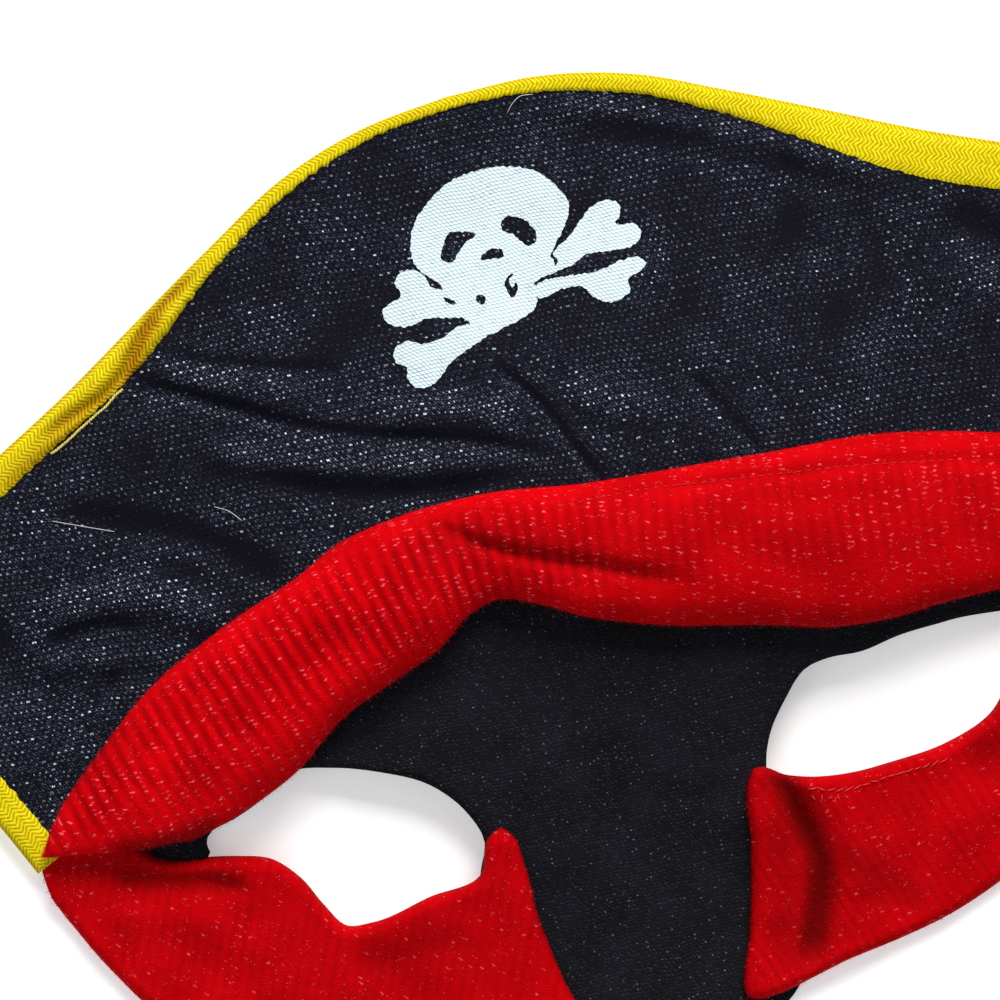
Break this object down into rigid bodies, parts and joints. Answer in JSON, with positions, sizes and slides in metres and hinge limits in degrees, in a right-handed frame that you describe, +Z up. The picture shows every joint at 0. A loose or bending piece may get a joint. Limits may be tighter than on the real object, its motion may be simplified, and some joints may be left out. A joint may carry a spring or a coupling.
{
  "type": "pirate hat",
  "caption": "Small cloth pirate hat for a cat or small dog, opened out flat: black brim with yellow edge and skull print, red knit ring with ear holes.",
  "frame": {"origin": "middle of the hat's box, on the surface it lies on", "axes": "+X across the brim, +Y from the cap towards the brim's crest, +Z up; the hat lies with its inside up"},
  "size_m": [0.207, 0.1684, 0.0158],
  "materials": {
    "black_cloth": "woven polyester, slight sparkle",
    "back_cloth": "plain matte polyester",
    "interlining": "stiff non-woven",
    "gold_tape": "yellow twill tape with a slight sheen",
    "white_print": "matte white ink over the weave",
    "red_knit": "fuzzy rib knit",
    "wadding": "soft polyester wadding",
    "crown_cloth": "matte black knit",
    "black_webbing": "flat woven tape",
    "loop_pile": "soft loop pile",
    "hook_tape": "fine hook tape"
  },
  "bodies": {
    "cap": {"brim_root_front_panel": "black_cloth", "brim_root_interlining": "interlining", "brim_root_back_panel": "back_cloth", "binding_end_left": "gold_tape", "binding_end_right": "gold_tape", "forehead_band": "red_knit", "forehead_band_wadding": "wadding", "crown_strip": "crown_cloth", "rear_band_left": "red_knit", "rear_band_right": "red_knit"},
    "brim": {"brim_front_panel": "black_cloth", "brim_interlining": "interlining", "brim_back_panel": "back_cloth", "brim_binding": "gold_tape", "skull_print": "white_print", "crossbones_print": "white_print"},
    "strap_left": {"chin_strap_left": "black_webbing", "loop_patch": "loop_pile"},
    "strap_right": {"chin_strap_right": "black_webbing", "hook_patch": "hook_tape"}
  },
  "joints": [
    {"name": "brim_fold", "type": "hinge", "parent": "cap", "child": "brim", "pos_m": [0, 0.03415, 0.0094], "axis": [1, 0, 0], "range_deg": [0, 110]},
    {"name": "chin_strap_left_fold", "type": "hinge", "parent": "cap", "child": "strap_left", "pos_m": [-0.0682, -0.0322, 0.0012], "axis": [-0.8712, 0.4909, 0], "range_deg": [0, 90]},
    {"name": "chin_strap_right_fold", "type": "hinge", "parent": "cap", "child": "strap_right", "pos_m": [0.0682, -0.0322, 0.00215], "axis": [-0.8712, -0.4909, 0], "range_deg": [0, 90]}
  ]
}
